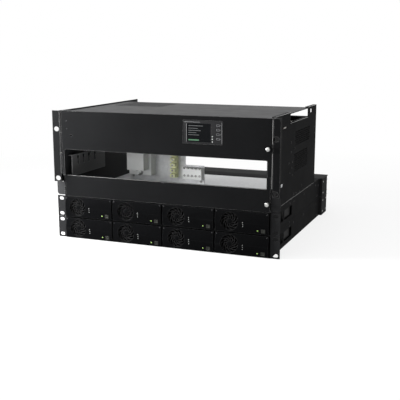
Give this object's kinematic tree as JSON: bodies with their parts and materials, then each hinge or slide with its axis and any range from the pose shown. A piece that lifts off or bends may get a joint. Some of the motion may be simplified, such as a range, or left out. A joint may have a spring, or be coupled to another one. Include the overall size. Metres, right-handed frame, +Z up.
{
  "type": "rack power shelf",
  "caption": "Black 19-inch DC power system: hot-plug rectifier modules in two low shelves under a distribution chassis with a hinged door, controller and open window.",
  "frame": {"origin": "middle of the underside of the lower shelf, halfway from the ears' front face to the rear wall of the connection boxes", "axes": "+X to the right seen from the front, +Y to the rear, +Z up"},
  "size_m": [0.4826, 0.4763, 0.2663],
  "materials": {
    "black_powder_coat": "fine textured satin black",
    "rectifier_black": "satin black",
    "fan_plastic": "matte black",
    "latch_metal": "bright nickel",
    "zinc_plate": "galvanised",
    "steel": "bright zinc",
    "circuit_board": "solder resist",
    "controller_plastic": "satin black",
    "screen_glass": "dark display window",
    "button_plastic": "grey",
    "grey_plastic": "light grey",
    "earth_plastic": "yellow-green",
    "tinned_copper": "tin plated",
    "red_insulator": "moulded red"
  },
  "bodies": {
    "chassis": {"shelf_lower": "black_powder_coat", "shelf_upper": "black_powder_coat", "rear_box_lower": "black_powder_coat", "rear_box_upper": "black_powder_coat", "backplane_lower": "circuit_board", "backplane_upper": "circuit_board", "side_plate_left": "black_powder_coat", "side_plate_right": "black_powder_coat", "bay_floor": "zinc_plate", "top_cover": "black_powder_coat", "rear_rail": "black_powder_coat", "ear_upper_left": "black_powder_coat", "ear_upper_right": "black_powder_coat", "hinge_pin_upper": "steel", "hinge_pin_lower": "steel", "cable_bracket": "black_powder_coat", "mounting_plate": "zinc_plate", "terminal_block": "grey_plastic", "earth_terminals": "earth_plastic", "contactor": "grey_plastic", "busbar_plus": "tinned_copper", "busbar_minus": "tinned_copper", "busbar_holder_left": "red_insulator", "busbar_holder_right": "red_insulator"},
    "rectifier_1": {"rectifier_1_case": "rectifier_black"},
    "fan_1": {"rectifier_1_rotor": "fan_plastic"},
    "latch_1": {"rectifier_1_latch": "latch_metal"},
    "rectifier_2": {"rectifier_2_case": "rectifier_black"},
    "fan_2": {"rectifier_2_rotor": "fan_plastic"},
    "latch_2": {"rectifier_2_latch": "latch_metal"},
    "rectifier_3": {"rectifier_3_case": "rectifier_black"},
    "fan_3": {"rectifier_3_rotor": "fan_plastic"},
    "latch_3": {"rectifier_3_latch": "latch_metal"},
    "rectifier_4": {"rectifier_4_case": "rectifier_black"},
    "fan_4": {"rectifier_4_rotor": "fan_plastic"},
    "latch_4": {"rectifier_4_latch": "latch_metal"},
    "rectifier_5": {"rectifier_5_case": "rectifier_black"},
    "fan_5": {"rectifier_5_rotor": "fan_plastic"},
    "latch_5": {"rectifier_5_latch": "latch_metal"},
    "rectifier_6": {"rectifier_6_case": "rectifier_black"},
    "fan_6": {"rectifier_6_rotor": "fan_plastic"},
    "latch_6": {"rectifier_6_latch": "latch_metal"},
    "rectifier_7": {"rectifier_7_case": "rectifier_black"},
    "fan_7": {"rectifier_7_rotor": "fan_plastic"},
    "latch_7": {"rectifier_7_latch": "latch_metal"},
    "rectifier_8": {"rectifier_8_case": "rectifier_black"},
    "fan_8": {"rectifier_8_rotor": "fan_plastic"},
    "latch_8": {"rectifier_8_latch": "latch_metal"},
    "door": {"front_door": "black_powder_coat", "controller_case": "controller_plastic", "controller_screen": "screen_glass"},
    "panel": {"lower_panel": "black_powder_coat"},
    "door_screw": {"thumb_screw_upper": "steel"},
    "panel_screw": {"thumb_screw_lower": "steel"},
    "button_1": {"controller_button_1": "button_plastic"},
    "button_2": {"controller_button_2": "button_plastic"},
    "button_3": {"controller_button_3": "button_plastic"},
    "button_4": {"controller_button_4": "button_plastic"}
  },
  "joints": [
    {"name": "rectifier_1_slide", "type": "slide", "parent": "chassis", "child": "rectifier_1", "axis": [0, -1, 0], "range_m": [0, 0.3]},
    {"name": "fan_1_spin", "type": "hinge", "parent": "rectifier_1", "child": "fan_1", "pos_m": [-0.191, -0.2213, 0.06705], "axis": [0, 1, 0], "continuous": true},
    {"name": "latch_1_press", "type": "slide", "parent": "rectifier_1", "child": "latch_1", "axis": [0, 1, 0], "range_m": [0, 0.0012], "stiffness_N_per_m": 800},
    {"name": "rectifier_2_slide", "type": "slide", "parent": "chassis", "child": "rectifier_2", "axis": [0, -1, 0], "range_m": [0, 0.3]},
    {"name": "fan_2_spin", "type": "hinge", "parent": "rectifier_2", "child": "fan_2", "pos_m": [-0.08, -0.2213, 0.06705], "axis": [0, 1, 0], "continuous": true},
    {"name": "latch_2_press", "type": "slide", "parent": "rectifier_2", "child": "latch_2", "axis": [0, 1, 0], "range_m": [0, 0.0012], "stiffness_N_per_m": 800},
    {"name": "rectifier_3_slide", "type": "slide", "parent": "chassis", "child": "rectifier_3", "axis": [0, -1, 0], "range_m": [0, 0.3]},
    {"name": "fan_3_spin", "type": "hinge", "parent": "rectifier_3", "child": "fan_3", "pos_m": [0.031, -0.2213, 0.06705], "axis": [0, 1, 0], "continuous": true},
    {"name": "latch_3_press", "type": "slide", "parent": "rectifier_3", "child": "latch_3", "axis": [0, 1, 0], "range_m": [0, 0.0012], "stiffness_N_per_m": 800},
    {"name": "rectifier_4_slide", "type": "slide", "parent": "chassis", "child": "rectifier_4", "axis": [0, -1, 0], "range_m": [0, 0.3]},
    {"name": "fan_4_spin", "type": "hinge", "parent": "rectifier_4", "child": "fan_4", "pos_m": [0.142, -0.2213, 0.06705], "axis": [0, 1, 0], "continuous": true},
    {"name": "latch_4_press", "type": "slide", "parent": "rectifier_4", "child": "latch_4", "axis": [0, 1, 0], "range_m": [0, 0.0012], "stiffness_N_per_m": 800},
    {"name": "rectifier_5_slide", "type": "slide", "parent": "chassis", "child": "rectifier_5", "axis": [0, -1, 0], "range_m": [0, 0.3]},
    {"name": "fan_5_spin", "type": "hinge", "parent": "rectifier_5", "child": "fan_5", "pos_m": [-0.191, -0.2213, 0.0226], "axis": [0, 1, 0], "continuous": true},
    {"name": "latch_5_press", "type": "slide", "parent": "rectifier_5", "child": "latch_5", "axis": [0, 1, 0], "range_m": [0, 0.0012], "stiffness_N_per_m": 800},
    {"name": "rectifier_6_slide", "type": "slide", "parent": "chassis", "child": "rectifier_6", "axis": [0, -1, 0], "range_m": [0, 0.3]},
    {"name": "fan_6_spin", "type": "hinge", "parent": "rectifier_6", "child": "fan_6", "pos_m": [-0.08, -0.2213, 0.0226], "axis": [0, 1, 0], "continuous": true},
    {"name": "latch_6_press", "type": "slide", "parent": "rectifier_6", "child": "latch_6", "axis": [0, 1, 0], "range_m": [0, 0.0012], "stiffness_N_per_m": 800},
    {"name": "rectifier_7_slide", "type": "slide", "parent": "chassis", "child": "rectifier_7", "axis": [0, -1, 0], "range_m": [0, 0.3]},
    {"name": "fan_7_spin", "type": "hinge", "parent": "rectifier_7", "child": "fan_7", "pos_m": [0.031, -0.2213, 0.0226], "axis": [0, 1, 0], "continuous": true},
    {"name": "latch_7_press", "type": "slide", "parent": "rectifier_7", "child": "latch_7", "axis": [0, 1, 0], "range_m": [0, 0.0012], "stiffness_N_per_m": 800},
    {"name": "rectifier_8_slide", "type": "slide", "parent": "chassis", "child": "rectifier_8", "axis": [0, -1, 0], "range_m": [0, 0.3]},
    {"name": "fan_8_spin", "type": "hinge", "parent": "rectifier_8", "child": "fan_8", "pos_m": [0.142, -0.2213, 0.0226], "axis": [0, 1, 0], "continuous": true},
    {"name": "latch_8_press", "type": "slide", "parent": "rectifier_8", "child": "latch_8", "axis": [0, 1, 0], "range_m": [0, 0.0012], "stiffness_N_per_m": 800},
    {"name": "door_hinge", "type": "hinge", "parent": "chassis", "child": "door", "pos_m": [-0.2227, -0.234, 0.2], "axis": [0, 0, -1], "range_deg": [0, 110]},
    {"name": "panel_hinge", "type": "hinge", "parent": "chassis", "child": "panel", "pos_m": [-0.2212, -0.2271, 0.104], "axis": [0, 0, -1], "range_deg": [0, 95]},
    {"name": "door_screw_turn", "type": "hinge", "parent": "door", "child": "door_screw", "pos_m": [0.2195, -0.234, 0.2103], "axis": [0, 1, 0], "continuous": true},
    {"name": "panel_screw_turn", "type": "hinge", "parent": "panel", "child": "panel_screw", "pos_m": [0.2172, -0.227, 0.1054], "axis": [0, 1, 0], "continuous": true},
    {"name": "button_1_press", "type": "slide", "parent": "door", "child": "button_1", "axis": [0, 1, 0], "range_m": [0, 0.0008], "stiffness_N_per_m": 500},
    {"name": "button_2_press", "type": "slide", "parent": "door", "child": "button_2", "axis": [0, 1, 0], "range_m": [0, 0.0008], "stiffness_N_per_m": 500},
    {"name": "button_3_press", "type": "slide", "parent": "door", "child": "button_3", "axis": [0, 1, 0], "range_m": [0, 0.0008], "stiffness_N_per_m": 500},
    {"name": "button_4_press", "type": "slide", "parent": "door", "child": "button_4", "axis": [0, 1, 0], "range_m": [0, 0.0008], "stiffness_N_per_m": 500}
  ]
}
